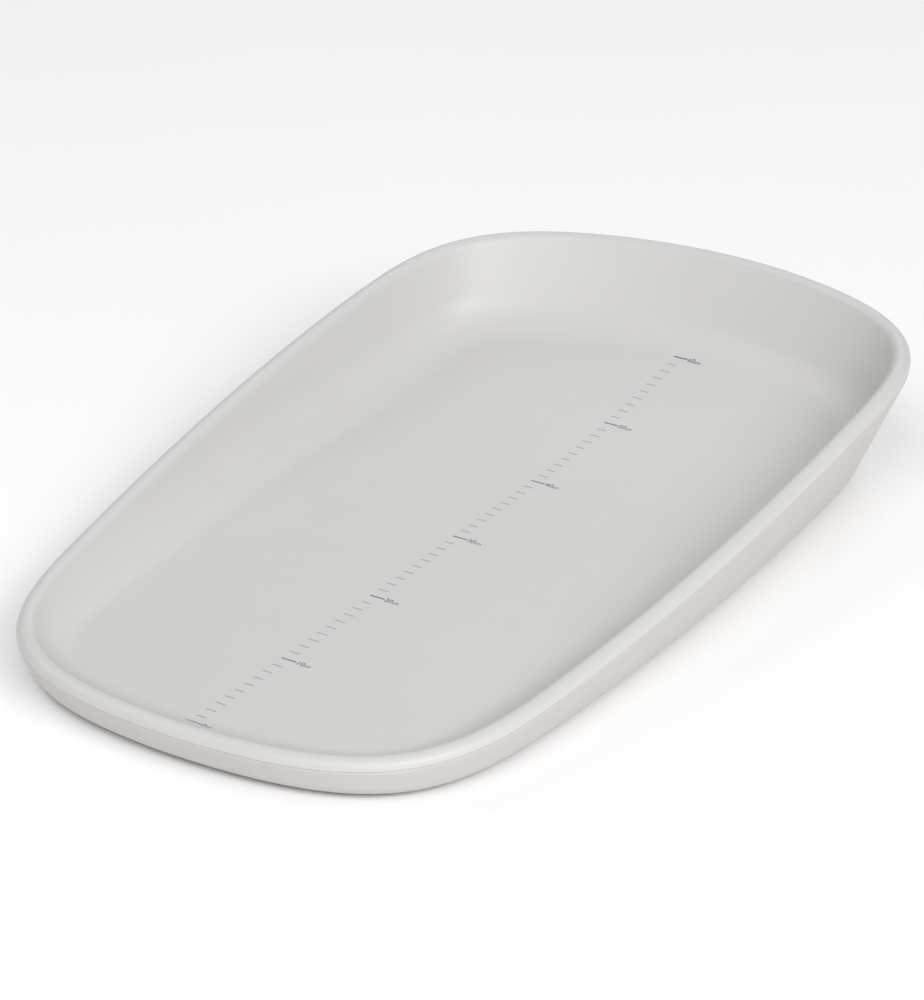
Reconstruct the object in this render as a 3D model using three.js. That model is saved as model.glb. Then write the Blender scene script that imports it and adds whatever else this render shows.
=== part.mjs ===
// Foam changing mat: a shallow moulded tray of soft polyurethane foam with a rolled rim that is
// low at the foot end and high at the head end, a printed ruler along its middle and four
// anti-slip pads underneath.
// Millimetres. The mat lies on Z = 0, its head end is towards +Y and its middle line is on X = 0.
import * as THREE from "three";

// Overall sizes
const overallLength = 692;
const overallWidth = 416;

// The rim's plan outline is built from arcs that touch each other, then faired
const footArcRadius = 440;
const footCornerRadius = 89;
const sideArcRadius = 2210;
const headCornerRadius = 85;
const headArcRadius = 328;
const widestFromMiddle = 107; // towards the head
const fairingRun = 120; // length along the outline over which the arcs are blended
const fairingSamples = 9;
const arcSteps = { foot: 5, footCorner: 10, side: 10, headCorner: 10, head: 6 };

// The rolled rim: its round, and the height of the round's centre above the underside
const rimRadius = 6.8;
const rimHeightAtFoot = 22.4;
const rimHeightAtHead = 87.8;
const rimRiseAtFootShare = 0.052; // how steeply the rim climbs at each end
const rimRiseAtHeadShare = 0.038;

// Outer wall, leaning in towards the underside
const outerWallLean = THREE.MathUtils.degToRad(23.5);
const undersideRound = 16;

// Basin: the floor, its two gentle rises, and the wall between the floor and the rim
const floorThickness = 16.4;
const headRiseStart = 78; // from the middle towards the head
const headRiseRadius = 1130;
const footRiseStart = 165; // from the middle towards the foot
const footRiseRadius = 3800;
const sideWallLean = THREE.MathUtils.degToRad(15);
const headWallLean = THREE.MathUtils.degToRad(35);
const leanBlend = THREE.MathUtils.degToRad(4);
const leastWall = 1.5;
const sideFillet = 40;
const headFillet = 50;

// Skins, clearance and anti-slip pads
const skinThickness = 1;
const gap = 0.3;
const padDiameter = 34;
const padThickness = 1.5;
const padEdgeRound = 0.5;
const padFromSide = 86; // pad centre in from the rim's centre line
const padFromEnd = 124;

// Printed ruler: its long marks, one every ten centimetres for as far as the basin goes
const rulerFromFoot = 24.5; // the zero mark, in from the mat's foot end
const rulerFromHead = 60; // no mark is nearer to the mat's head end
const markPitch = 100;
const markNumberStep = 10; // what the ruler's numbers gain from one mark to the next
const markLeft = -4.1;
const markLength = 12;
const markWidth = 1.2;
const markThickness = 0.3;

// Section steps
const rimTopSteps = 8;
const rimSideSteps = 2;
const filletSteps = 6;
const undersideSteps = 4;
const padSides = 32;
const searchSteps = 40;

const halfLength = overallLength / 2 - rimRadius;
const halfWidth = overallWidth / 2 - rimRadius;
const undersideZ = padThickness + gap;
const rulerStart = rulerFromFoot - overallLength / 2;
const markCount = 1 + Math.floor((overallLength - rulerFromFoot - rulerFromHead) / markPitch);

const materials = {
  foam: new THREE.MeshStandardMaterial({ color: 0xf2efe6, roughness: 0.9, metalness: 0 }),
  skin: new THREE.MeshStandardMaterial({ color: 0xe9e8e6, roughness: 0.55, metalness: 0 }),
  underside: new THREE.MeshStandardMaterial({ color: 0xe4e1df, roughness: 0.6, metalness: 0 }),
  rubber: new THREE.MeshStandardMaterial({ color: 0xd5d3cf, roughness: 0.8, metalness: 0 }),
  ink: new THREE.MeshStandardMaterial({ color: 0x55555a, roughness: 0.6, metalness: 0 }),
};

// Plan outline

// Where a corner circle touches both the end arc and the side arc from inside
function cornerCentre(endCentre, endRadius, sideCentre, cornerRadius, towards) {
  const fromEnd = endRadius - cornerRadius;
  const fromSide = sideArcRadius - cornerRadius;
  const line = sideCentre.clone().sub(endCentre);
  const apart = line.length();
  line.divideScalar(apart);
  const along = (fromEnd ** 2 - fromSide ** 2 + apart ** 2) / (2 * apart);
  const off = Math.sqrt(Math.max(fromEnd ** 2 - along ** 2, 0));
  const foot = endCentre.clone().addScaledVector(line, along);
  const across = new THREE.Vector2(-line.y, line.x);
  const both = [foot.clone().addScaledVector(across, off), foot.clone().addScaledVector(across, -off)];
  both.sort((a, b) => b.x + towards * b.y - a.x - towards * a.y);
  return both[0];
}

// The arcs of the +X half, from the middle of the foot end to the middle of the head end
function outlineArcs() {
  const foot = new THREE.Vector2(0, footArcRadius - halfLength);
  const head = new THREE.Vector2(0, halfLength - headArcRadius);
  const side = new THREE.Vector2(halfWidth - sideArcRadius, widestFromMiddle);
  const footCorner = cornerCentre(foot, footArcRadius, side, footCornerRadius, -1);
  const headCorner = cornerCentre(head, headArcRadius, side, headCornerRadius, 1);
  const turns = [
    -Math.PI / 2,
    footCorner.clone().sub(foot).angle() - 2 * Math.PI,
    footCorner.clone().sub(side).angle() - 2 * Math.PI,
    headCorner.clone().sub(side).angle(),
    headCorner.clone().sub(head).angle(),
    Math.PI / 2,
  ];
  const rounds = [
    [foot, footArcRadius, arcSteps.foot],
    [footCorner, footCornerRadius, arcSteps.footCorner],
    [side, sideArcRadius, arcSteps.side],
    [headCorner, headCornerRadius, arcSteps.headCorner],
    [head, headArcRadius, arcSteps.head],
  ];
  let start = 0;
  return rounds.map(([centre, radius, steps], i) => {
    const length = radius * (turns[i + 1] - turns[i]);
    start += length;
    return { centre, radius, steps, length, start: start - length, from: turns[i] };
  });
}

const arcs = outlineArcs();
const halfOutline = arcs.at(-1).start + arcs.at(-1).length;

// The point at a distance along the outline, which runs on past each end as a mirror image
function onArcs(distance) {
  if (distance < 0) return onArcs(-distance).multiply(new THREE.Vector2(-1, 1));
  if (distance > halfOutline) return onArcs(2 * halfOutline - distance).multiply(new THREE.Vector2(-1, 1));
  const arc = arcs.findLast(({ start }) => start <= distance);
  const turn = arc.from + (distance - arc.start) / arc.radius;
  return new THREE.Vector2(Math.cos(turn), Math.sin(turn)).multiplyScalar(arc.radius).add(arc.centre);
}

// The mean of the arcs over the fairing run, so that the curvature changes smoothly
function faired(distance) {
  const mean = new THREE.Vector2();
  for (let i = 0; i < fairingSamples; i++) {
    const share = (i + 0.5) / fairingSamples - 0.5;
    mean.add(onArcs(distance + share * fairingRun));
  }
  return mean.divideScalar(fairingSamples);
}

// Stations of the +X half, with the outward normal of the outline at each
function halfStations() {
  const places = [];
  for (const { start, length, steps } of arcs) {
    for (let i = 0; i < steps; i++) places.push(start + (length * i) / steps);
  }
  places.push(halfOutline);
  const points = places.map(faired);
  const widest = Math.max(...points.map((p) => p.x));
  const lowest = points[0].y;
  const highest = points[points.length - 1].y;
  const scale = new THREE.Vector2(halfWidth / widest, (2 * halfLength) / (highest - lowest));
  const reach = fairingRun / fairingSamples;
  return places.map((place, i) => {
    const along = faired(place + reach).sub(faired(place - reach)).multiply(scale).normalize();
    return {
      x: i === 0 || i === places.length - 1 ? 0 : points[i].x * scale.x,
      y: (points[i].y - lowest) * scale.y - halfLength,
      nx: along.y,
      ny: -along.x,
    };
  });
}

// Heights

// Height of the rim's centre above the underside: a cubic with a set height and slope at each end
function rimHeight(y) {
  const u = (y + halfLength) / (2 * halfLength);
  const footShare = 2 * u ** 3 - 3 * u ** 2 + 1;
  const footSlope = (u ** 3 - 2 * u ** 2 + u) * rimRiseAtFootShare * 2 * halfLength;
  const headSlope = (u ** 3 - u ** 2) * rimRiseAtHeadShare * 2 * halfLength;
  return rimHeightAtFoot * footShare + rimHeightAtHead * (1 - footShare) + footSlope + headSlope;
}

// Height and slope of the basin's floor above the underside
function floorAt(y) {
  const towardsHead = Math.max(y - headRiseStart, 0);
  const towardsFoot = Math.max(-y - footRiseStart, 0);
  const headCos = Math.sqrt(headRiseRadius ** 2 - towardsHead ** 2);
  const footCos = Math.sqrt(footRiseRadius ** 2 - towardsFoot ** 2);
  return {
    height: floorThickness + headRiseRadius - headCos + footRiseRadius - footCos,
    slope: towardsHead / headCos - towardsFoot / footCos,
  };
}

// How far the basin's wall leans from upright: as wanted, or where the rim is low as far as it
// takes for the rim's round to meet the fillet with a short flat between them
function wallLean(wanted, fillet, rise) {
  const reach = rimRadius + fillet;
  const drop = THREE.MathUtils.clamp(rise / Math.hypot(reach, leastWall), -1, 1);
  const needed = Math.asin(drop) + Math.atan(leastWall / reach);
  return (wanted + needed + Math.hypot(wanted - needed, leanBlend)) / 2;
}

// Section of the tray at a station: the wall's lean, the basin's fillet and the two rounds' centres.
// In a section, out is along the outline's normal from the rim's centre and z is up.
function withSection(station) {
  const { y, ny } = station;
  const headShare = Math.max(ny, 0) ** 2;
  const wanted = sideWallLean + (headWallLean - sideWallLean) * headShare;
  const fillet = sideFillet + (headFillet - sideFillet) * headShare;
  const rimZ = undersideZ + rimHeight(y);
  const filletAt = (out) => {
    const floor = floorAt(y + out * ny);
    const tilt = Math.atan(floor.slope * ny);
    const z = undersideZ + floor.height + fillet * Math.cos(tilt);
    return { tilt, out: out - fillet * Math.sin(tilt), z, lean: wallLean(wanted, fillet, z - rimZ) };
  };
  // The fillet touches the wall where its centre lies a rim radius and a fillet radius inside it
  let near = 0;
  let far = -halfWidth;
  for (let i = 0; i < searchSteps; i++) {
    const middle = (near + far) / 2;
    const { out, z, lean } = filletAt(middle);
    const inside = (z - rimZ) * Math.sin(lean) - out * Math.cos(lean);
    if (inside > rimRadius + fillet) far = middle;
    else near = middle;
  }
  const filletCentre = filletAt(near);
  const rise = undersideZ + undersideRound - rimZ;
  const slant = (rimRadius - undersideRound + rise * Math.sin(outerWallLean)) / Math.cos(outerWallLean);
  const undersideCentre = { out: slant, z: undersideZ + undersideRound };
  return { ...station, lean: filletCentre.lean, fillet, rimZ, filletCentre, undersideCentre };
}

const half = halfStations().map(withSection);
const mirrored = half.slice(1, -1).reverse();
const stations = [...half, ...mirrored.map((s) => ({ ...s, x: -s.x, nx: -s.nx }))];

// The point at an angle on a round of a section, angles measured up from the outward normal
function onRound(station, centre, radius, angle) {
  const out = centre.out + radius * Math.cos(angle);
  const z = centre.z + radius * Math.sin(angle);
  return new THREE.Vector3(station.x + out * station.nx, station.y + out * station.ny, z);
}

const spread = (from, to, steps) => {
  return Array.from({ length: steps + 1 }, (_, i) => from + ((to - from) * i) / steps);
};

// From the parting line over the rim and down to the floor's edge, a depth inside the surface
function upperSection(station, depth, clearance) {
  const rim = { out: 0, z: station.rimZ };
  const radius = rimRadius - depth;
  const tangent = Math.PI - station.lean;
  const floorTurn = Math.PI / 2 + station.filletCentre.tilt;
  const rimTurns = spread(Math.asin(clearance / radius), tangent, rimTopSteps);
  const filletTurns = spread(tangent, floorTurn, filletSteps);
  return [
    ...rimTurns.map((turn) => onRound(station, rim, radius, turn)),
    ...filletTurns.map((turn) => onRound(station, station.filletCentre, -station.fillet - depth, turn)),
  ];
}

// From the parting line down the outer wall to the underside's edge, a depth inside the surface
function lowerSection(station, depth, clearance) {
  const rim = { out: 0, z: station.rimZ };
  const radius = rimRadius - depth;
  const rimTurns = spread(-Math.asin(clearance / radius), -outerWallLean, rimSideSteps);
  const baseTurns = spread(-outerWallLean, -Math.PI / 2, undersideSteps);
  return [
    ...rimTurns.map((turn) => onRound(station, rim, radius, turn)),
    ...baseTurns.map((turn) => onRound(station, station.undersideCentre, undersideRound - depth, turn)),
  ];
}

// A closed mesh from a section at each station, which goes back along one surface and then forth
// along another. Quads are split the same way on surfaces that lie behind each other. Each end of
// the section closes with a ladder of strips between the stations and their mirror images.
function loft(back, forth) {
  const sections = stations.map((station) => [...back(station).reverse(), ...forth(station)]);
  const across = sections[0].length;
  const turn = across - forth(stations[0]).length;
  const count = sections.length;
  const index = [];
  const at = (station, point) => ((station + count) % count) * across + point;
  for (let i = 0; i < count; i++) {
    for (let j = 0; j < across - 1; j++) {
      const [a, b, c, d] = [at(i, j), at(i + 1, j), at(i + 1, j + 1), at(i, j + 1)];
      index.push(...(j < turn ? [a, b, c, a, c, d] : [a, b, d, b, c, d]));
    }
  }
  for (let i = 0; i < count / 2; i++) {
    for (const [point, downwards] of [[0, true], [across - 1, false]]) {
      const [a, b, c, d] = [at(i, point), at(i + 1, point), at(-i - 1, point), at(-i, point)];
      for (const corners of [[a, b, c], [a, c, d]]) {
        if (downwards) corners.reverse();
        if (new Set(corners).size === corners.length) index.push(...corners);
      }
    }
  }
  const geometry = new THREE.BufferGeometry().setFromPoints(sections.flat());
  geometry.setIndex(index);
  geometry.computeVertexNormals();
  return geometry;
}

// Soft foam body, a skin and a gap inside the surface
function foamCore() {
  const depth = skinThickness + gap;
  const lower = (station) => lowerSection(station, depth, 0).slice(1);
  return loft(lower, (station) => upperSection(station, depth, 0));
}

// A skin of even thickness, from its inner face to its outer face or the other way round
function skin(section, innerFirst) {
  const inner = (station) => section(station, skinThickness, gap / 2);
  const outer = (station) => section(station, 0, gap / 2);
  return innerFirst ? loft(inner, outer) : loft(outer, inner);
}

// Flat round pad with a softened lower edge
function antiSlipPad() {
  const radius = padDiameter / 2;
  const profile = [
    [0, 0],
    [radius - padEdgeRound, 0],
    [radius, padEdgeRound],
    [radius, padThickness],
    [0, padThickness],
  ].map(([x, y]) => new THREE.Vector2(x, y));
  return new THREE.LatheGeometry(profile, padSides).rotateX(Math.PI / 2);
}

// The upper skin on the middle line, from the foot end over the floor's strips to the head end
function middleLine() {
  const floorEdges = half.slice(1, -1).map((station) => upperSection(station, 0, 0).at(-1));
  return [...upperSection(half[0], 0, 0), ...floorEdges, ...upperSection(half.at(-1), 0, 0).reverse()];
}

// Height and slope of the upper skin at a place on the middle line
function basinAt(y) {
  const line = middleLine();
  const next = line.findIndex((point) => point.y > y);
  const [start, end] = [line[next - 1], line[next]];
  const slope = (end.z - start.z) / (end.y - start.y);
  return { z: start.z + slope * (y - start.y), slope };
}

// One long printed mark, lying on the basin
function rulerMark(index) {
  const mark = new THREE.Mesh(new THREE.BoxGeometry(markLength, markWidth, markThickness), materials.ink);
  const y = rulerStart + index * markPitch;
  const { z, slope } = basinAt(y);
  const tilt = Math.atan(slope);
  const lift = gap + markThickness / 2;
  mark.position.set(markLeft + markLength / 2, y - lift * Math.sin(tilt), z + lift * Math.cos(tilt));
  mark.rotation.x = tilt;
  mark.name = `ruler_mark_${String(index * markNumberStep).padStart(2, "0")}cm`;
  return mark;
}

function named(name, geometry, material) {
  const mesh = new THREE.Mesh(geometry, material);
  mesh.name = name;
  return mesh;
}

const mat = new THREE.Group();
mat.add(named("foam_core", foamCore(), materials.foam));
mat.add(named("upper_skin", skin(upperSection, true), materials.skin));
mat.add(named("lower_skin", skin(lowerSection, false), materials.underside));

for (const [end, endSign] of [["foot", -1], ["head", 1]]) {
  for (const [side, sideSign] of [["left", -1], ["right", 1]]) {
    const pad = named(`anti_slip_pad_${end}_${side}`, antiSlipPad(), materials.rubber);
    pad.position.set(sideSign * (halfWidth - padFromSide), endSign * (halfLength - padFromEnd), 0);
    mat.add(pad);
  }
}

for (let i = 0; i < markCount; i++) mat.add(rulerMark(i));

export default mat;
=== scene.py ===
# %% [markdown]
# # A foam changing mat
# A baby lies in this shallow tray while its nappy is changed. The mat is moulded in one go from soft
# polyurethane foam with a sealed skin, so it has no seams to open and wipes clean. Its rim is low
# at the foot end and high at the head end, and a ruler is printed along its middle.
#
# The CAD model, which is loaded first, has every piece at its real size. This lesson makes the fine
# surfaces over it: the two skins, the foam inside, the printed ruler and the pads underneath.

import math

import bmesh
import bpy
from mathutils import Euler, Matrix, Vector


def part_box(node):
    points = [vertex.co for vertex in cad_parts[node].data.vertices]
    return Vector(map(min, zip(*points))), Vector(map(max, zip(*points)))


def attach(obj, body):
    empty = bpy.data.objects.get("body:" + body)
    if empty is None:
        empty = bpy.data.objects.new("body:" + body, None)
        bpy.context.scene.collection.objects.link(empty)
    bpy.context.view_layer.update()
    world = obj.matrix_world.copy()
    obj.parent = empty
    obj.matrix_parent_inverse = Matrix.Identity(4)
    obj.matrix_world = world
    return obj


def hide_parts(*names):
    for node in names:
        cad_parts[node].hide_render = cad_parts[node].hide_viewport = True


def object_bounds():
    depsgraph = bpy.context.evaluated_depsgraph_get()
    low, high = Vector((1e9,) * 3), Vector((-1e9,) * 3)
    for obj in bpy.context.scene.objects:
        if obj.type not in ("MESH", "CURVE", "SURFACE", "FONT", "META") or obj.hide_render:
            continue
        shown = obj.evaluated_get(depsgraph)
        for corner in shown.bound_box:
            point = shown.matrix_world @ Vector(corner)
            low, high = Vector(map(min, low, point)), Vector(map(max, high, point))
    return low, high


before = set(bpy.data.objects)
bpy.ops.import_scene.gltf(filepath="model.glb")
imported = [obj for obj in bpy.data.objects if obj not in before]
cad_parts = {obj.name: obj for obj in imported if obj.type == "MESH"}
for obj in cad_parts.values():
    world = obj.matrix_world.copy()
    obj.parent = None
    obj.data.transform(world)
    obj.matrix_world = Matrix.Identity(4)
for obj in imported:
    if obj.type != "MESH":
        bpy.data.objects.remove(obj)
cad_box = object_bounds()
print("CAD box in metres:", [round(v, 4) for corner in cad_box for v in corner])

# %% [markdown]
# ## The camera
# The ruler on the mat made it possible to work out where the photographer stood: about two metres
# from the near corner, looking down by 26 degrees, with a long lens. A long lens is kept here too,
# because a short one would make the near end look too large.

# %% Camera
MM = 0.001
SENSOR_MM = 36
CAMERA_LENS_MM = 129.5
CAMERA_PLACE = Vector((1.1445, -1.8270, 1.0977))
LOOKS_DOWN = math.radians(26.199)
LOOKS_LEFT = math.radians(32.299)
CAMERA_ROLL = math.radians(-0.094)


def add_object(name, data):
    """An object at the origin that shows the data."""
    made = bpy.data.objects.new(name, data)
    bpy.context.scene.collection.objects.link(made)
    return made


def add_camera():
    lens = bpy.data.cameras.new("camera")
    lens.sensor_width = SENSOR_MM
    lens.lens = CAMERA_LENS_MM
    turn = Matrix.Rotation(LOOKS_LEFT, 3, "Z") @ Matrix.Rotation(math.pi / 2 - LOOKS_DOWN, 3, "X")
    turn = turn @ Matrix.Rotation(CAMERA_ROLL, 3, "Z")
    camera = add_object("camera", lens)
    camera.matrix_world = Matrix.LocRotScale(CAMERA_PLACE, turn, None)
    bpy.context.scene.camera = camera


add_camera()
print("camera at", tuple(round(v, 3) for v in CAMERA_PLACE), "with a lens of", CAMERA_LENS_MM, "mm")

# %% [markdown]
# ## A wire that does sums
# Both materials and Geometry Nodes are graphs of small boxes, and sums drawn that way are hard to
# read. This class wraps one output of a node. Python's own operators on it add Math nodes, so a sum
# is written as a sum, and `node` adds any other kind of node. Each operator has its mirrored form,
# so that a number may stand on its left, as in `1 - mask`.

# %% The wire class
class Wire:
    """One output of a node in a shader or Geometry Nodes tree."""

    def __init__(self, tree, socket=None):
        self.tree = tree
        self.socket = socket

    def plug(self, socket, value):
        if isinstance(value, Wire):
            self.tree.links.new(value.socket, socket)
        elif value is not None:
            socket.default_value = value

    def node(self, kind, settings=None, inputs=None, output=0):
        """Adds a node: its settings first, then the values or wires of its inputs."""
        made = self.tree.nodes.new(kind)
        for name, value in (settings or {}).items():
            setattr(made, name, value)
        for name, value in (inputs or {}).items():
            self.plug(made.inputs[name], value)
        return Wire(self.tree, made.outputs[output])

    def output(self, name):
        """Another output of the same node."""
        return Wire(self.tree, self.socket.node.outputs[name])

    def sum(self, operation, first, second=None):
        return self.node("ShaderNodeMath", {"operation": operation}, {0: first, 1: second})

    def __add__(self, other):
        return self.sum("ADD", self, other)

    def __radd__(self, other):
        return self.sum("ADD", other, self)

    def __sub__(self, other):
        return self.sum("SUBTRACT", self, other)

    def __rsub__(self, other):
        return self.sum("SUBTRACT", other, self)

    def __mul__(self, other):
        return self.sum("MULTIPLY", self, other)

    def __rmul__(self, other):
        return self.sum("MULTIPLY", other, self)

    def __truediv__(self, other):
        return self.sum("DIVIDE", self, other)

    def __rtruediv__(self, other):
        return self.sum("DIVIDE", other, self)

    def __mod__(self, other):
        return self.sum("FLOORED_MODULO", self, other)

    def __rmod__(self, other):
        return self.sum("FLOORED_MODULO", other, self)

    def __lt__(self, other):
        return self.sum("LESS_THAN", self, other)

    def __gt__(self, other):
        return self.sum("GREATER_THAN", self, other)


print("wires can stand in sums with + - * / % < and >")

# %% [markdown]
# ## Helpers for node trees
# A tree gets named inputs, so that one tree serves several pieces with different sizes. Every tree
# ends by making its copies real and giving them their finish. `baked` turns what a modifier made
# into a plain mesh and takes the modifier away.

# %% Tree helpers
INPUT_KINDS = {
    "geometry": "NodeSocketGeometry",
    "whole": "NodeSocketInt",
    "number": "NodeSocketFloat",
    "yes_no": "NodeSocketBool",
    "object": "NodeSocketObject",
    "material": "NodeSocketMaterial",
}


def new_tree(name, **inputs):
    """A Geometry Nodes tree with named inputs, and a wire for each of them."""
    tree = bpy.data.node_groups.new(name, "GeometryNodeTree")
    for title, kind in inputs.items():
        label = title.replace("_", " ")
        tree.interface.new_socket(name=label, in_out="INPUT", socket_type=INPUT_KINDS[kind])
    tree.interface.new_socket(name="result", in_out="OUTPUT", socket_type=INPUT_KINDS["geometry"])
    entry = tree.nodes.new("NodeGroupInput")
    wires = {title: Wire(tree, entry.outputs[i]) for i, title in enumerate(inputs)}
    return tree, wires


def end_tree(tree, shape, finish):
    real = shape.node("GeometryNodeRealizeInstances", None, {"Geometry": shape})
    done = shape.node("GeometryNodeSetMaterial", None, {"Geometry": real, "Material": finish})
    leave = tree.nodes.new("NodeGroupOutput")
    tree.links.new(done.socket, leave.inputs[0])


def add_tree(piece, tree, **values):
    """Puts the tree on a piece as a modifier, with each value set by its socket's identifier."""
    modifier = piece.modifiers.new(tree.name, "NODES")
    modifier.node_group = tree
    sockets = {s.name: s.identifier for s in tree.interface.items_tree if s.in_out == "INPUT"}
    for title, value in values.items():
        modifier[sockets[title.replace("_", " ")]] = value


def baked(piece, name):
    """A plain mesh object of what the piece's modifiers make. The piece itself is removed."""
    graph = bpy.context.evaluated_depsgraph_get()
    mesh = bpy.data.meshes.new_from_object(piece.evaluated_get(graph), depsgraph=graph)
    mesh.name = name
    piece.modifiers.clear()
    bpy.data.objects.remove(piece)
    print(f"{name}: {len(mesh.polygons)} faces")
    return add_object(name, mesh)


print("a tree's inputs can be:", ", ".join(INPUT_KINDS))


# %% Vector helpers
def vector(wire, x=None, y=None, z=None):
    """A vector of numbers or wires. A part that is left out is zero."""
    return wire.node("ShaderNodeCombineXYZ", None, {"X": x, "Y": y, "Z": z})


def parts_of(wire):
    """The three numbers of a vector."""
    parts = wire.node("ShaderNodeSeparateXYZ", None, {0: wire})
    return parts, parts.output("Y"), parts.output("Z")


# %% [markdown]
# ## The plan outline
# The rim follows a rounded rectangle that is a little wider towards the head. A designer would draw
# it with five arcs that touch each other: a shallow one across each end, a nearly straight one along
# each side and a tighter one at each corner. Where two arcs meet, the curvature jumps, and on a
# glossy moulding the eye sees that as a kink in the highlight. So each point is the mean of the arcs
# around it, which spreads the jump over twelve centimetres.

# %% Outline sizes
FOOT_ARC_RADIUS = 440 * MM
FOOT_CORNER_RADIUS = 89 * MM
SIDE_ARC_RADIUS = 2210 * MM
HEAD_CORNER_RADIUS = 85 * MM
HEAD_ARC_RADIUS = 328 * MM
WIDEST_FROM_MIDDLE = 107 * MM
FAIRING_RUN = 120 * MM
FAIRING_SAMPLES = 9
ARC_STEPS = (20, 40, 40, 40, 24)
RIM_RADIUS = 6.8 * MM

half_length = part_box("upper_skin")[1].y - RIM_RADIUS
half_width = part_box("upper_skin")[1].x - RIM_RADIUS
underside_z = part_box("lower_skin")[0].z
print(f"rim centre line {2000 * half_width:.1f} by {2000 * half_length:.1f} mm")


# %% Outline arcs
def corner_centre(end_centre, end_radius, side_centre, corner_radius, towards):
    """Where a corner circle touches both the end arc and the side arc from inside."""
    from_end = end_radius - corner_radius
    from_side = SIDE_ARC_RADIUS - corner_radius
    line = side_centre - end_centre
    apart = line.length
    along = (from_end**2 - from_side**2 + apart**2) / (2 * apart)
    off = math.sqrt(max(from_end**2 - along**2, 0))
    foot = end_centre + line * (along / apart)
    across = Vector((-line.y, line.x)) * (off / apart)
    return max(foot + across, foot - across, key=lambda p: p.x + towards * p.y)


def outline_arcs():
    """The arcs of the right half, from the middle of the foot end to the middle of the head end."""
    foot = Vector((0, FOOT_ARC_RADIUS - half_length))
    head = Vector((0, half_length - HEAD_ARC_RADIUS))
    side = Vector((half_width - SIDE_ARC_RADIUS, WIDEST_FROM_MIDDLE))
    foot_corner = corner_centre(foot, FOOT_ARC_RADIUS, side, FOOT_CORNER_RADIUS, -1)
    head_corner = corner_centre(head, HEAD_ARC_RADIUS, side, HEAD_CORNER_RADIUS, 1)
    centres = (foot, foot_corner, side, head_corner, head)
    radii = (FOOT_ARC_RADIUS, FOOT_CORNER_RADIUS, SIDE_ARC_RADIUS, HEAD_CORNER_RADIUS, HEAD_ARC_RADIUS)
    touches = (foot_corner - foot, foot_corner - side, head_corner - side, head_corner - head)
    turns = [-math.pi / 2, *(math.atan2(t.y, t.x) for t in touches), math.pi / 2]
    arcs, start = [], 0
    for i, (centre, radius, steps) in enumerate(zip(centres, radii, ARC_STEPS)):
        length = radius * (turns[i + 1] - turns[i])
        arcs.append({"centre": centre, "radius": radius, "steps": steps, "from": turns[i],
                     "start": start, "length": length})
        start += length
    return arcs, start


arcs, half_outline = outline_arcs()
print("outline arcs in mm:", [round(1000 * arc["length"]) for arc in arcs])


# %% Outline points
def on_arcs(distance):
    """The point at a distance along the outline, which runs on past each end as a mirror image."""
    if distance < 0:
        return on_arcs(-distance) * Vector((-1, 1))
    if distance > half_outline:
        return on_arcs(2 * half_outline - distance) * Vector((-1, 1))
    arc = [arc for arc in arcs if arc["start"] <= distance][-1]
    turn = arc["from"] + (distance - arc["start"]) / arc["radius"]
    return arc["centre"] + Vector((math.cos(turn), math.sin(turn))) * arc["radius"]


def faired(distance):
    """The mean of the arcs over the fairing run."""
    shares = [(i + 0.5) / FAIRING_SAMPLES - 0.5 for i in range(FAIRING_SAMPLES)]
    return sum((on_arcs(distance + s * FAIRING_RUN) for s in shares), Vector((0, 0))) / FAIRING_SAMPLES


def half_outline_points():
    """Points of the right half with the outward normal at each, stretched to the exact half sizes."""
    places = []
    for arc in arcs:
        places += [arc["start"] + arc["length"] * i / arc["steps"] for i in range(arc["steps"])]
    places.append(half_outline)
    points = [faired(place) for place in places]
    low, high = points[0].y, points[-1].y
    stretch = Vector((half_width / max(p.x for p in points), 2 * half_length / (high - low)))
    reach = FAIRING_RUN / FAIRING_SAMPLES
    stations = []
    for i, (place, point) in enumerate(zip(places, points)):
        along = ((faired(place + reach) - faired(place - reach)) * stretch).normalized()
        x = 0 if i in (0, len(points) - 1) else point.x * stretch.x
        y = (point.y - low) * stretch.y - half_length
        stations.append({"x": x, "y": y, "nx": along.y, "ny": -along.x})
    return stations


half_stations = half_outline_points()
print(len(half_stations), "outline points on each side")

# %% [markdown]
# ## The section
# A cut through the tray shows the same outline everywhere: up the outer wall, over a small round
# rim, down a leaning inner wall and through a fillet into the floor. Only its sizes change along the
# rim. The wall leans most at the head, where it holds the baby's head softly, and near the foot the
# rim is so low that the round and the fillet nearly meet.

# %% Section sizes
RIM_HEIGHT_AT_FOOT = 22.4 * MM
RIM_HEIGHT_AT_HEAD = 87.8 * MM
RIM_RISE_AT_FOOT = 0.052
RIM_RISE_AT_HEAD = 0.038
OUTER_WALL_LEAN = math.radians(23.5)
UNDERSIDE_ROUND = 16 * MM
FLOOR_THICKNESS = 16.4 * MM
HEAD_RISE_START = 78 * MM
HEAD_RISE_RADIUS = 1130 * MM
FOOT_RISE_START = 165 * MM
FOOT_RISE_RADIUS = 3800 * MM
SIDE_WALL_LEAN = math.radians(15)
HEAD_WALL_LEAN = math.radians(35)
LEAN_BLEND = math.radians(4)
LEAST_WALL = 1.5 * MM
SIDE_FILLET = 40 * MM
HEAD_FILLET = 50 * MM
SEARCH_STEPS = 40


# %% Heights along the mat
def rim_height(y):
    """Height of the rim's centre above the underside: a cubic with a set slope at each end."""
    u = (y + half_length) / (2 * half_length)
    foot_share = 2 * u**3 - 3 * u**2 + 1
    foot_slope = (u**3 - 2 * u**2 + u) * RIM_RISE_AT_FOOT * 2 * half_length
    head_slope = (u**3 - u**2) * RIM_RISE_AT_HEAD * 2 * half_length
    level = RIM_HEIGHT_AT_FOOT * foot_share + RIM_HEIGHT_AT_HEAD * (1 - foot_share)
    return level + foot_slope + head_slope


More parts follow.
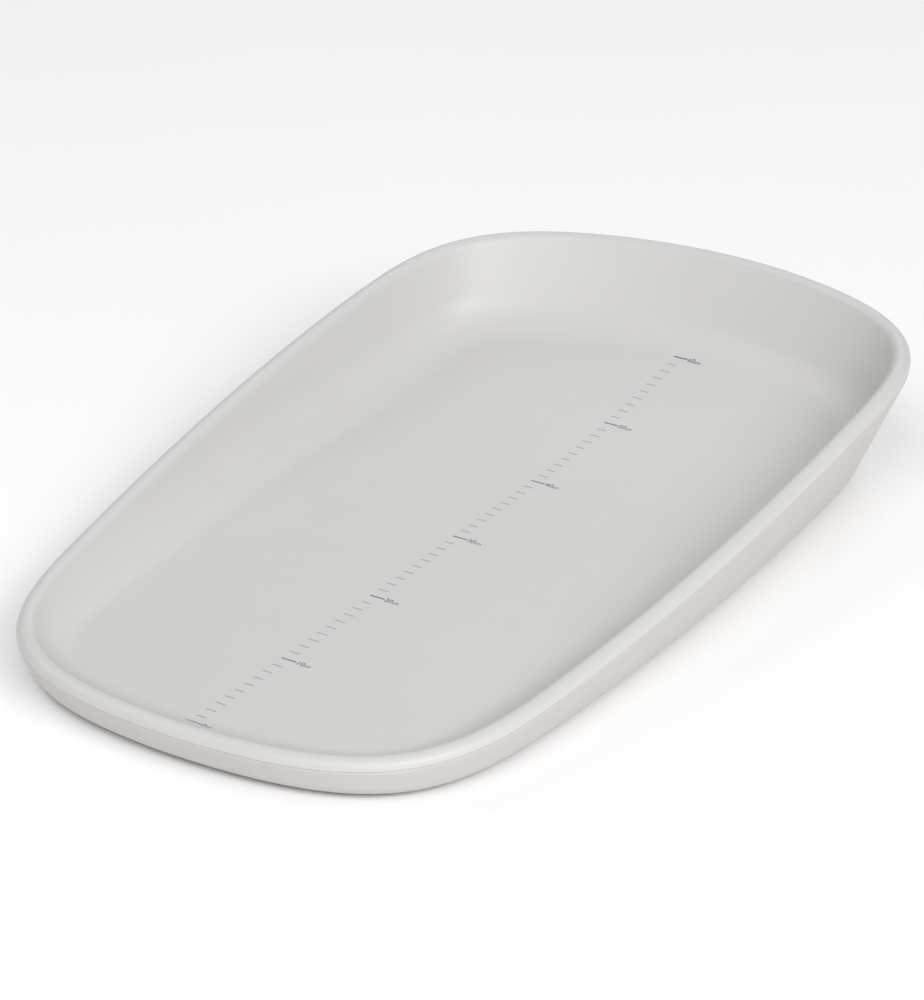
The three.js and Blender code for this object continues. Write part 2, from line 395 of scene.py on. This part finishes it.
def floor_at(y):
    """Height above the underside, and slope, of the basin's floor."""
    towards_head = max(y - HEAD_RISE_START, 0)
    towards_foot = max(-y - FOOT_RISE_START, 0)
    head_cos = math.sqrt(HEAD_RISE_RADIUS**2 - towards_head**2)
    foot_cos = math.sqrt(FOOT_RISE_RADIUS**2 - towards_foot**2)
    height = FLOOR_THICKNESS + HEAD_RISE_RADIUS - head_cos + FOOT_RISE_RADIUS - foot_cos
    return height, towards_head / head_cos - towards_foot / foot_cos


for share in (-1, -0.5, 0, 0.5, 1):
    y = share * half_length
    rim_mm, floor_mm = 1000 * rim_height(y), 1000 * floor_at(y)[0]
    print(f"y {1000 * y:6.0f} mm: rim {rim_mm:5.1f}, floor {floor_mm:5.1f} mm")


# %% Sections along the outline
def wall_lean(wanted, fillet, rise):
    """The wall's lean as wanted, or what a low rim leaves room for."""
    reach = RIM_RADIUS + fillet
    drop = max(-1, min(1, rise / math.hypot(reach, LEAST_WALL)))
    needed = math.asin(drop) + math.atan(LEAST_WALL / reach)
    return (wanted + needed + math.hypot(wanted - needed, LEAN_BLEND)) / 2


def with_section(station):
    """Adds the wall's lean and the centres of the fillet and of the underside's round."""
    y, ny = station["y"], station["ny"]
    head_share = max(ny, 0) ** 2
    wanted = SIDE_WALL_LEAN + (HEAD_WALL_LEAN - SIDE_WALL_LEAN) * head_share
    fillet = SIDE_FILLET + (HEAD_FILLET - SIDE_FILLET) * head_share
    rim_z = underside_z + rim_height(y)

    def fillet_at(out):
        height, slope = floor_at(y + out * ny)
        tilt = math.atan(slope * ny)
        z = underside_z + height + fillet * math.cos(tilt)
        return out - fillet * math.sin(tilt), z, tilt, wall_lean(wanted, fillet, z - rim_z)

    # Halving the range again and again finds where the fillet just touches the wall
    near, far = 0, -half_width
    for _ in range(SEARCH_STEPS):
        middle = (near + far) / 2
        out, z, tilt, lean = fillet_at(middle)
        inside = (z - rim_z) * math.sin(lean) - out * math.cos(lean)
        near, far = (near, middle) if inside > RIM_RADIUS + fillet else (middle, far)
    out, z, tilt, lean = fillet_at(near)
    rise = underside_z + UNDERSIDE_ROUND - rim_z
    slant = (RIM_RADIUS - UNDERSIDE_ROUND + rise * math.sin(OUTER_WALL_LEAN)) / math.cos(OUTER_WALL_LEAN)
    return {**station, "rim_z": rim_z, "lean": lean, "fillet": fillet, "tilt": tilt,
            "fillet_centre": (out, z), "underside_centre": (slant, underside_z + UNDERSIDE_ROUND)}


right_half = [with_section(station) for station in half_stations]
left_half = [{**s, "x": -s["x"], "nx": -s["nx"]} for s in reversed(right_half[1:-1])]
stations = right_half + left_half
leans = [math.degrees(s["lean"]) for s in right_half]
print(f"{len(stations)} sections, inner wall leaning {min(leans):.0f} to {max(leans):.0f} degrees")

# %% [markdown]
# ## One tree for every surface
# The basin's surface, the outer surface and the foam's own surface all follow the same rule: at each
# outline point one arc, then another arc, and at the end a sheet across to the other side. The
# stations could be lofted in Python, but as a node tree the rule can be seen working and its step
# counts can be changed by hand. The rail that it gets is a row of points that carry the arcs as
# attributes.

# %% Rail of sections
def add_rail(name, turns_for):
    """A point for each station, with the section's two arcs as attributes."""
    mesh = bpy.data.meshes.new(name)
    mesh.from_pydata([(s["x"], s["y"], s["rim_z"]) for s in stations], [], [])
    columns = {"outwards": [], "first_arc": [], "second_arc": [], "second_centre": []}
    for s in stations:
        first, second, centre = turns_for(s)
        columns["outwards"].append((s["nx"], s["ny"], 0))
        columns["first_arc"].append(first)
        columns["second_arc"].append(second)
        columns["second_centre"].append((centre[0], 0, centre[1]))
    for title, vectors in columns.items():
        column = mesh.attributes.new(title, "FLOAT_VECTOR", "POINT")
        column.data.foreach_set("vector", [v for vector in vectors for v in vector])
    return add_object(name, mesh)


def upper_turns(depth, clearance):
    """From the parting line over the rim and down to the floor. An arc is from, to and radius."""
    def turns(s):
        radius = RIM_RADIUS - depth
        tangent = math.pi - s["lean"]
        first = (math.asin(clearance / radius), tangent, radius)
        return first, (tangent, math.pi / 2 + s["tilt"], -s["fillet"] - depth), s["fillet_centre"]
    return turns


def lower_turns(depth, clearance):
    """From the parting line down the outer wall to the underside."""
    def turns(s):
        radius = RIM_RADIUS - depth
        first = (-math.asin(clearance / radius), -OUTER_WALL_LEAN, radius)
        return first, (-OUTER_WALL_LEAN, -math.pi / 2, UNDERSIDE_ROUND - depth), s["underside_centre"]
    return turns


# %% Reading the rail
def whole(wire):
    return wire.sum("FLOOR", wire)


def sampled(shape, field, index):
    """The value of a vector field at one point of the shape."""
    settings = {"data_type": "FLOAT_VECTOR", "domain": "POINT"}
    return shape.node("GeometryNodeSampleIndex", settings,
                      {"Geometry": shape, "Value": field, "Index": index})


def from_rail(rail, title, station):
    """The three numbers of one attribute of the rail at a station."""
    settings = {"data_type": "FLOAT_VECTOR"}
    named = rail.node("GeometryNodeInputNamedAttribute", settings, {"Name": title})
    return parts_of(sampled(rail, named, station))


def laid_grid(columns, rows, position):
    """A grid whose points move to the position that is worked out from each one's number."""
    grid = columns.node("GeometryNodeMeshGrid", None, {"Vertices X": columns, "Vertices Y": rows})
    return columns.node("GeometryNodeSetPosition", None, {"Geometry": grid, "Position": position})


# %% The surface tree
WELD = 0.002 * MM


def arc_wall(rail, around, across, first_steps, second_steps):
    """A wall that follows both arcs at every station."""
    index = rail.node("GeometryNodeInputIndex")
    # Half a step more keeps a rounding error from moving a point to the station before
    station = whole((index + 0.5) / across) % around
    step = index % across
    on_first = step < first_steps + 0.5
    on_second = 1 - on_first
    first_from, first_to, first_radius = from_rail(rail, "first_arc", station)
    second_from, second_to, second_radius = from_rail(rail, "second_arc", station)
    centre_out, _, centre_z = from_rail(rail, "second_centre", station)
    place_x, place_y, place_z = from_rail(rail, "position", station)
    out_x, out_y, _ = from_rail(rail, "outwards", station)
    first_turn = first_from + (first_to - first_from) * (step / first_steps)
    second_share = (step - first_steps - 1) / second_steps
    second_turn = second_from + (second_to - second_from) * second_share
    turn = first_turn * on_first + second_turn * on_second
    radius = first_radius * on_first + second_radius * on_second
    out = centre_out * on_second + radius * rail.sum("COSINE", turn)
    height = place_z * on_first + centre_z * on_second + radius * rail.sum("SINE", turn)
    point = vector(rail, place_x + out_x * out, place_y + out_y * out, height)
    return laid_grid(around + 1, across, point)


def middle_sheet(wall, around, across, sheet_steps):
    """Rows that run straight across between the wall's last points at mirrored stations."""
    index = wall.node("GeometryNodeInputIndex")
    row_points = sheet_steps + 1
    row = whole((index + 0.5) / row_points)
    share = (index % row_points) / sheet_steps
    where = wall.node("GeometryNodeInputPosition")
    ends = [sampled(wall, where, station * across + (across - 1))
            for station in (row, (around - row) % around)]
    mixed = {0: share, 4: ends[0], 5: ends[1]}
    spread = wall.node("ShaderNodeMix", {"data_type": "VECTOR"}, mixed, output=1)
    return laid_grid(around / 2 + 1, row_points, spread)


def surface_tree():
    """Two arcs at each station of a rail, and a sheet that joins the ends of opposite stations."""
    tree, given = new_tree("section surface", rail="geometry", first_steps="whole", second_steps="whole",
                           sheet_steps="whole", facing_down="yes_no", finish="material")
    rail = given["rail"]
    around = rail.node("GeometryNodeAttributeDomainSize", {"component": "MESH"}, {"Geometry": rail})
    across = given["first_steps"] + given["second_steps"] + 2
    wall = arc_wall(rail, around, across, given["first_steps"], given["second_steps"])
    sheet = middle_sheet(wall, around, across, given["sheet_steps"])
    both = rail.node("GeometryNodeJoinGeometry")
    for part in (wall, sheet):
        rail.plug(both.socket.node.inputs[0], part)
    welded = rail.node("GeometryNodeMergeByDistance", None, {"Geometry": both, "Distance": WELD})
    turned = rail.node("GeometryNodeFlipFaces", None,
                       {"Mesh": welded, "Selection": given["facing_down"]})
    end_tree(tree, turned, given["finish"])
    return tree


section_surface = surface_tree()
print("surface tree:", len(section_surface.nodes), "nodes")

# %% [markdown]
# ## Finishes
# Everything one touches here is the same moulded polyurethane skin. It is off-white, and neither
# glossy nor dry: light spreads into a wide soft highlight, a little narrower in the basin than
# outside. The outer skin's colour is painted darker and pinker than the basin's, as painted shade on
# its downward-facing wall. Close up it has a very fine grain that the mould leaves, and a few pin-head
# pores, painted darker as shade in the pits. An image texture would need a mapping over the rolled
# rim, so the grain is worked out from the place in the object instead, which fits any shape.

# %% Finish helpers
def new_finish(name, color, roughness, specular=0.5):
    """A Principled material with plain values, and a wire to build on."""
    material = bpy.data.materials.new(name)
    material.use_nodes = True
    shader = material.node_tree.nodes["Principled BSDF"]
    shader.inputs["Base Color"].default_value = (*color, 1)
    shader.inputs["Roughness"].default_value = roughness
    shader.inputs["Specular IOR Level"].default_value = specular
    wire = Wire(material.node_tree)
    place = wire.node("ShaderNodeTexCoord").output("Object")
    return material, shader.inputs, place


def noise(place, size, detail=2.0):
    """Smooth noise from 0 to 1 whose patches are about as wide as the size in metres."""
    return place.node("ShaderNodeTexNoise", None, {"Vector": place, "Scale": 1 / size, "Detail": detail})


def cells(place, size):
    """The distance to the middle of the nearest cell, as a share of the cells' size in metres."""
    return place.node("ShaderNodeTexVoronoi", {"feature": "F1"}, {"Vector": place, "Scale": 1 / size})


def between(place, share, first, second):
    """A colour from first to second. Each of the two is a colour or a wire."""
    ends = [end if isinstance(end, Wire) else (*end, 1) for end in (first, second)]
    mixed = {0: share, 6: ends[0], 7: ends[1]}
    return place.node("ShaderNodeMix", {"data_type": "RGBA"}, mixed, output=2)


def bumped(place, height):
    """The surface's normal, tilted by a height in metres."""
    return place.node("ShaderNodeBump", None, {"Height": height, "Distance": 1.0, "Strength": 1.0})


# %% Moulded skin
GRAIN = 0.45 * MM
GRAIN_DEPTH = 0.012 * MM
GRAIN_TINT = 0.3
GRAIN_ROUGHNESS = 0.12
WAVE = 45 * MM
WAVE_DEPTH = 0.05 * MM
WAVE_TINT = 0.7
PORE_CELL = 28 * MM
PORE_RADIUS_SHARE = 0.016
PORE_SHADE = 4.0  # times the step from the light tint to the dark one
PORE_ROUGHNESS = 0.2


def moulded_skin(name, light, dark, roughness):
    """Satin polyurethane skin with fine grain, faint waves and scattered pores, painted darker as shade.
    """
    material, sockets, place = new_finish(name, light, roughness)
    grain = noise(place, GRAIN)
    wave = noise(place, WAVE, 1.0)
    pores = cells(place, PORE_CELL) < PORE_RADIUS_SHARE
    skin = between(place, wave * WAVE_TINT + grain * GRAIN_TINT, light, dark)
    # Painted shade: the pores' colour is darker, standing in for the shade inside each pit.
    depth = [a + (b - a) * PORE_SHADE for a, b in zip(light, dark)]
    place.plug(sockets["Base Color"], between(place, pores, skin, depth))
    gloss = roughness + (grain - 0.5) * GRAIN_ROUGHNESS + pores * PORE_ROUGHNESS
    place.plug(sockets["Roughness"], gloss)
    height = grain * GRAIN_DEPTH + wave * WAVE_DEPTH - pores * GRAIN_DEPTH
    place.plug(sockets["Normal"], bumped(place, height))
    return material


basin_finish = moulded_skin("basin skin", (0.600, 0.594, 0.583), (0.580, 0.574, 0.563), 0.43)
# Painted shade: the outer skin's two tints are darker and pinker than the basin's, for its
# downward-facing wall.
shaded_outer_finish = moulded_skin("outer skin", (0.590, 0.568, 0.553), (0.565, 0.544, 0.529), 0.58)
print("skins:", basin_finish.name, "and", shaded_outer_finish.name)

# %% [markdown]
# ## Foam, rubber and ink
# Cut foam shows open cells, and one Voronoi texture gives both their depth and a painted shade that
# darkens them where they are deeper. The rubber of the pads is matt, with a fine grain. The ink is
# dark where much of it was pressed on and lighter between, so noise mixes two greys. One flat grey
# would look like a sticker.

# %% Foam, rubber and ink
FOAM_CELL = 1.2 * MM
FOAM_CELL_DEPTH = 0.4 * FOAM_CELL
RUBBER_GRAIN = 0.3 * MM
RUBBER_GRAIN_DEPTH = 0.05 * MM
INK_FLECK = 0.5 * MM
INK_ROUGHNESS = 0.5
INK_FLECK_ROUGHNESS = 0.15


def foam(light, dark):
    """Open cells of soft foam, which a cut would show, painted darker where they are deeper, as shade.
    """
    material, sockets, place = new_finish("foam", light, 0.9)
    bubbles = cells(place, FOAM_CELL)
    # Painted shade: the cells' colour darkens where the bump makes them deeper.
    place.plug(sockets["Base Color"], between(place, bubbles, light, dark))
    place.plug(sockets["Normal"], bumped(place, bubbles * -FOAM_CELL_DEPTH))
    return material


def rubber(light, dark):
    material, sockets, place = new_finish("rubber", light, 0.75)
    grain = noise(place, RUBBER_GRAIN)
    place.plug(sockets["Base Color"], between(place, grain, light, dark))
    place.plug(sockets["Normal"], bumped(place, grain * RUBBER_GRAIN_DEPTH))
    return material


def ink(name, dark, light):
    """Grey ink, a little uneven where it was pressed onto the grain."""
    material, sockets, place = new_finish(name, dark, INK_ROUGHNESS)
    flecks = noise(place, INK_FLECK)
    place.plug(sockets["Base Color"], between(place, flecks, dark, light))
    place.plug(sockets["Roughness"], INK_ROUGHNESS + flecks * INK_FLECK_ROUGHNESS)
    return material


foam_finish = foam((0.78, 0.75, 0.67), (0.62, 0.58, 0.50))
rubber_finish = rubber((0.58, 0.57, 0.54), (0.50, 0.49, 0.46))
dark_ink = ink("dark ink", (0.10, 0.10, 0.105), (0.17, 0.17, 0.175))
light_ink = ink("light ink", (0.24, 0.24, 0.245), (0.34, 0.34, 0.345))
print("finishes:", [m.name for m in bpy.data.materials if m.use_nodes])

# %% [markdown]
# ## The two skins
# Foam is poured into a mould that was sprayed with the skin first. The mould opens along a line on
# the outside of the rim, and the two skins meet there in a fine line. One closed surface with a line
# painted on it would do from afar, but two skins with real walls leave a real gap. Each skin is the
# tree's surface with a Solidify modifier that gives it its wall, and a tiny bevel takes the hard
# edge off the line where they meet.

# %% Skins
SKIN_THICKNESS = 1 * MM
PARTING_GAP = 0.12 * MM
PARTING_ROUND = 0.3 * MM
PARTING_ROUND_STEPS = 2
PARTING_EDGE_ANGLE = math.radians(60)
BASIN_STEPS = (24, 18)
OUTER_STEPS = (6, 14)
SKIN_SHEET_STEPS = 40


def add_surface(name, turns, steps, sheet_steps, facing_down, finish):
    """A rail whose modifier makes its surface, with the steps of the first and the second arc."""
    rail = add_rail(name + "_rail", turns)
    add_tree(rail, section_surface, first_steps=steps[0], second_steps=steps[1],
             sheet_steps=sheet_steps, facing_down=facing_down, finish=finish)
    return rail


def add_skin(name, turns, steps, facing_down, finish):
    rail = add_surface(name, turns, steps, SKIN_SHEET_STEPS, facing_down, finish)
    wall = rail.modifiers.new("wall", "SOLIDIFY")
    wall.thickness = SKIN_THICKNESS
    wall.offset = -1
    wall.use_even_offset = True
    edge = rail.modifiers.new("edge", "BEVEL")
    edge.width = PARTING_ROUND
    edge.segments = PARTING_ROUND_STEPS
    edge.limit_method = "ANGLE"
    edge.angle_limit = PARTING_EDGE_ANGLE
    skin = baked(rail, name)
    skin.data.shade_smooth()
    return skin


basin_skin = add_skin("basin_skin", upper_turns(0, PARTING_GAP / 2), BASIN_STEPS, False, basin_finish)
outer_skin = add_skin("outer_skin", lower_turns(0, PARTING_GAP / 2), OUTER_STEPS, True, shaded_outer_finish)

# %% [markdown]
# ## The foam core
# The foam fills everything between the skins and gives the mat its softness. It is sealed in, so
# nothing of it shows, but it is there as on the real mat. The same tree makes its two surfaces, a
# skin's thickness further in, and welding them at the rim closes the body.

# %% Foam core
CORE_CLEARANCE = 0.3 * MM
CORE_UPPER_STEPS = (12, 10)
CORE_LOWER_STEPS = (4, 8)
CORE_SHEET_STEPS = 20


def add_core():
    depth = SKIN_THICKNESS + CORE_CLEARANCE
    upper = add_surface("core_upper", upper_turns(depth, 0), CORE_UPPER_STEPS, CORE_SHEET_STEPS,
                        False, foam_finish)
    core = baked(upper, "foam_body")
    lower = add_surface("core_lower", lower_turns(depth, 0), CORE_LOWER_STEPS, CORE_SHEET_STEPS,
                        True, foam_finish)
    under = baked(lower, "core_lower")
    joined = bmesh.new()
    for half in (core, under):
        joined.from_mesh(half.data)
    bmesh.ops.remove_doubles(joined, verts=joined.verts, dist=WELD)
    open_edges = sum(1 for edge in joined.edges if not edge.is_manifold)
    joined.to_mesh(core.data)
    joined.free()
    bpy.data.objects.remove(under)
    core.data.shade_smooth()
    print(f"foam_body closed: {len(core.data.polygons)} faces, {open_edges} open edges")
    return core


foam_body = add_core()

# %% [markdown]
# ## The printed ruler
# The ruler counts up from the baby's feet to 60 cm, with a short stroke each centimetre and a longer
# and darker one every ten. The ink has next to no thickness, so a raised bar would look wrong. The
# tree sets a flat bar at each place on a line, then lets every point of every bar drop straight down
# onto the skin, so that the strokes follow the fillet at the foot and the slope at the head.

# %% Ruler sizes
RULER_START = -321.5 * MM
MARK_PITCH = 10 * MM
MARKS = 61
MARKS_TO_LONG = 10
MARK_LEFT = -3.9 * MM
LONG_MARK = Vector((11.1, 1.2)) * MM
SHORT_MARK = Vector((7.3, 0.8)) * MM
INK_THICKNESS = 0.04 * MM
INK_LIFT = 0.01 * MM
BAR_POINTS = {"Vertices X": 6, "Vertices Y": 3, "Vertices Z": 2}
DOWN = (0, 0, -1)
RAY_LENGTH = 1.0

print(f"{MARKS} marks over {1000 * (MARKS - 1) * MARK_PITCH:.0f} mm")


# %% Ruler tree
def ruler_tree():
    """Bars on a line, of which only the long or only the short ones are kept, laid on a surface."""
    sizes = ("pitch", "start", "left", "length", "width", "thickness", "lift")
    tree, given = new_tree("ruler marks", carrier="object", marks="whole", marks_to_long="whole",
                           keep_long="yes_no", finish="material", **dict.fromkeys(sizes, "number"))
    wire = given["pitch"]
    first = vector(wire, given["left"] + given["length"] / 2, given["start"])
    step = vector(wire, y=given["pitch"])
    line = wire.node("GeometryNodeMeshLine", {"mode": "OFFSET", "count_mode": "TOTAL"},
                     {"Count": given["marks"], "Start Location": first, "Offset": step})
    is_long = (wire.node("GeometryNodeInputIndex") % given["marks_to_long"]) < 0.5
    wanted = wire.sum("COMPARE", is_long, given["keep_long"])
    kept = wire.node("GeometryNodeSeparateGeometry", {"domain": "POINT"},
                     {"Geometry": line, "Selection": wanted})
    size = vector(wire, given["length"], given["width"], given["thickness"])
    bar = wire.node("GeometryNodeMeshCube", None, {"Size": size, **BAR_POINTS})
    bars = wire.node("GeometryNodeInstanceOnPoints", None, {"Points": kept, "Instance": bar})
    real = wire.node("GeometryNodeRealizeInstances", None, {"Geometry": bars})
    carrier = wire.node("GeometryNodeObjectInfo", {"transform_space": "RELATIVE"},
                        {"Object": given["carrier"]}, output="Geometry")
    x, y, z = parts_of(wire.node("GeometryNodeInputPosition"))
    ray = {"Target Geometry": carrier, "Source Position": vector(wire, x, y, cad_box[1].z),
           "Ray Direction": DOWN, "Ray Length": RAY_LENGTH}
    ground = parts_of(wire.node("GeometryNodeRaycast", None, ray).output("Hit Position"))[2]
    height = ground + z + given["thickness"] / 2 + given["lift"]
    laid = wire.node("GeometryNodeSetPosition", None,
                     {"Geometry": real, "Position": vector(wire, x, y, height)})
    end_tree(tree, laid, given["finish"])
    return tree


ruler_marks = ruler_tree()
print("ruler tree:", len(ruler_marks.nodes), "nodes")


# %% Ruler marks
def add_marks(name, size, keep_long, finish):
    holder = add_object(name + "_holder", bpy.data.meshes.new(name))
    add_tree(holder, ruler_marks, carrier=basin_skin, marks=MARKS, pitch=MARK_PITCH, start=RULER_START,
             left=MARK_LEFT, length=size.x, width=size.y, thickness=INK_THICKNESS, lift=INK_LIFT,
             marks_to_long=MARKS_TO_LONG, keep_long=keep_long, finish=finish)
    return baked(holder, name)


long_marks = add_marks("ruler_long_marks", LONG_MARK, True, dark_ink)
short_marks = add_marks("ruler_short_marks", SHORT_MARK, False, light_ink)

# %% [markdown]
# ## The ruler's numbers
# Each long stroke has its number to the right, with a smaller cm after it. Text objects give clean
# shapes at this size. They are turned into a mesh, and their points drop onto the skin as the bars
# did, this time with a ray cast in Python.

# %% Numbers
NUMBER_HEIGHT = 4.8 * MM
UNIT_HEIGHT_SHARE = 0.7
NUMBER_GAP = 0.6 * MM
NUMBER_STRETCH = 0.9
NUMBER_BOLDNESS = 0.06 * MM
NUMBER_CURVE_STEPS = 4
CAP_HEIGHT_SHARE = 0.73  # of the font's size


def text_mesh(words, height):
    """A flat mesh of the words, in a font whose capitals have that height, from the origin."""
    curve = bpy.data.curves.new("words", "FONT")
    curve.body = words
    curve.size = height / CAP_HEIGHT_SHARE
    curve.offset = NUMBER_BOLDNESS
    curve.resolution_u = NUMBER_CURVE_STEPS
    holder = add_object("words", curve)
    graph = bpy.context.evaluated_depsgraph_get()
    mesh = bpy.data.meshes.new_from_object(holder.evaluated_get(graph), depsgraph=graph)
    bpy.data.objects.remove(holder)
    mesh.transform(Matrix.Diagonal((NUMBER_STRETCH, 1, 1, 1)))
    return mesh


def add_numbers():
    joined = bmesh.new()
    for i in range(0, MARKS, MARKS_TO_LONG):
        x = MARK_LEFT + LONG_MARK.x + NUMBER_GAP
        y = RULER_START + i * MARK_PITCH - NUMBER_HEIGHT / 2
        for words, height in ((str(i), NUMBER_HEIGHT), ("cm", NUMBER_HEIGHT * UNIT_HEIGHT_SHARE)):
            mesh = text_mesh(words, height)
            mesh.transform(Matrix.Translation((x, y, 0)))
            x = max(v.co.x for v in mesh.vertices) + NUMBER_GAP / 2
            joined.from_mesh(mesh)
            bpy.data.meshes.remove(mesh)
    for vertex in joined.verts:
        above = (vertex.co.x, vertex.co.y, cad_box[1].z)
        _, place, normal, _ = basin_skin.ray_cast(above, DOWN)
        vertex.co = place + normal * (INK_THICKNESS + INK_LIFT)
    mesh = bpy.data.meshes.new("ruler_numbers")
    joined.to_mesh(mesh)
    joined.free()
    mesh.materials.append(dark_ink)
    print("numbers:", len(mesh.polygons), "faces")
    return add_object("ruler_numbers", mesh)


ruler_numbers = add_numbers()

# %% [markdown]
# ## The pads underneath
# Foam slides on a varnished dresser top, so four thin rubber pads hold the mat still. They are turned
# shapes: half a section, spun round an axis. Rings cut into the face give them grip.

# %% Pad section
PAD_RINGS = 4
PAD_RING_STEPS = 8
PAD_RING_DEPTH = 0.4 * MM
PAD_RING_SHIFT = 0.25  # of a ring, so that the middle of the face is flat
PAD_RING_POWER = 0.5  # below 1, so that a ring has steep sides
PAD_EDGE_ROUND = 0.5 * MM
PAD_EDGE_STEPS = 6
PAD_TURNS = 96


def pad_profile(radius, thickness):
    """From the middle of the grooved face, out over the rounded edge and up to the middle of the top."""
    flat = radius - PAD_EDGE_ROUND
    count = PAD_RINGS * PAD_RING_STEPS
    profile = []
    for i in range(count + 1):
        share = i / count
        groove = max(0, math.sin(2 * math.pi * (share * PAD_RINGS - PAD_RING_SHIFT)))
        profile.append((flat * share, PAD_RING_DEPTH * groove**PAD_RING_POWER))
    for i in range(1, PAD_EDGE_STEPS + 1):
        turn = math.pi / 2 * i / PAD_EDGE_STEPS
        profile.append((flat + PAD_EDGE_ROUND * math.sin(turn), PAD_EDGE_ROUND * (1 - math.cos(turn))))
    return [*profile, (radius, thickness), (0, thickness)]


# %% Pads
def add_pad(name):
    low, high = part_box(name)
    middle = (low + high) / 2
    build = bmesh.new()
    points = [build.verts.new((r, 0, z)) for r, z in pad_profile((high.x - low.x) / 2, high.z - low.z)]
    for a, b in zip(points, points[1:]):
        build.edges.new((a, b))
    bmesh.ops.spin(build, geom=[*build.verts, *build.edges], cent=(0, 0, 0), axis=(0, 0, 1),
                   angle=2 * math.pi, steps=PAD_TURNS)
    bmesh.ops.remove_doubles(build, verts=build.verts, dist=WELD)
    bmesh.ops.recalc_face_normals(build, faces=build.faces)
    bmesh.ops.translate(build, verts=build.verts, vec=(middle.x, middle.y, low.z))
    mesh = bpy.data.meshes.new("grooved_" + name)
    build.to_mesh(mesh)
    build.free()
    mesh.materials.append(rubber_finish)
    mesh.shade_smooth()
    print(f"{mesh.name}: {len(mesh.polygons)} faces")
    return add_object(mesh.name, mesh)


pad_names = [f"anti_slip_pad_{end}_{side}" for end in ("foot", "head") for side in ("left", "right")]
pads = {name: add_pad(name) for name in pad_names}

# %% [markdown]
# ## Floor and light
# In the photograph the corner at the far left is the brightest part of the basin, and the wall at the
# near right, which faces away from it, is the darkest. So most of the light comes from the right of
# the camera, and the soft change between the two says that it comes from large boxes. Each light was
# rendered alone to find the strengths whose sum is closest to the photograph. The ground is a plain
# pale floor, and the lamps stand far away, so that it is evenly white.

# %% Floor
FLOOR_HALF = 12.0
FLOOR_DROP = 0.1 * MM  # clear of the pads' own faces, which lie at zero
FLOOR_PATCH = 0.4


def add_floor(light, dark):
    material, sockets, place = new_finish("floor", light, 0.8, specular=0.2)
    place.plug(sockets["Base Color"], between(place, noise(place, FLOOR_PATCH), light, dark))
    mesh = bpy.data.meshes.new("floor")
    corners = [(x * FLOOR_HALF, y * FLOOR_HALF, -FLOOR_DROP)
               for x, y in ((-1, -1), (1, -1), (1, 1), (-1, 1))]
    mesh.from_pydata(corners, [], [(0, 1, 2, 3)])
    mesh.materials.append(material)
    floor = add_object("floor", mesh)
    print(f"floor: {2 * FLOOR_HALF:.0f} m square")


add_floor((0.97, 0.97, 0.97), (0.95, 0.95, 0.95))

# %% Lights
LIGHT_DISTANCE = 6.0


def add_light(name, around, above, size, watts):
    """A square soft light that faces the mat. Degrees around are counted from the foot end's side
    towards the mat's right, and degrees above from the floor."""
    turn = Euler((math.radians(90 - above), 0, math.radians(around)))
    lamp = bpy.data.lights.new(name, "AREA")
    lamp.size = size
    lamp.energy = watts
    place = turn.to_matrix() @ Vector((0, 0, LIGHT_DISTANCE))
    add_object(name, lamp).matrix_world = Matrix.LocRotScale(place, turn, None)
    print(f"{name}: {watts} W, {size} m across")


def add_room(strength):
    """Even light from all round, as from the walls of a white room."""
    world = bpy.data.worlds.new("room")
    world.use_nodes = True
    background = world.node_tree.nodes["Background"]
    background.inputs["Color"].default_value = (1, 1, 1, 1)
    background.inputs["Strength"].default_value = strength
    bpy.context.scene.world = world


add_light("key_light", around=50, above=35, size=2.4, watts=92)
add_light("right_light", around=75, above=35, size=2.4, watts=115)
add_light("front_light", around=15, above=48, size=3.0, watts=84)
add_light("back_light", around=200, above=35, size=3.0, watts=28)
add_light("left_light", around=270, above=45, size=3.0, watts=46)
add_room(0.44)
bpy.context.scene.view_settings.view_transform = "Standard"

# %% [markdown]
# ## Handing the pieces over
# Each piece says which piece of the CAD model it stands for and that it rides on the mat's one body.

# %% Ride and replace
def hand_over(piece, slot, *nodes):
    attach(piece, "root")
    if nodes:
        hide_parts(*nodes)
    print(piece.name, "stands for", nodes or "print on the skin")


hand_over(basin_skin, "skin", "upper_skin")
hand_over(outer_skin, "underside", "lower_skin")
hand_over(foam_body, "foam", "foam_core")
mark_nodes = [f"ruler_mark_{i:02d}cm" for i in range(0, MARKS, MARKS_TO_LONG)]
hand_over(long_marks, "ink", *mark_nodes)
hand_over(short_marks, "ink")
hand_over(ruler_numbers, "ink")
for name, pad in pads.items():
    hand_over(pad, "rubber", name)
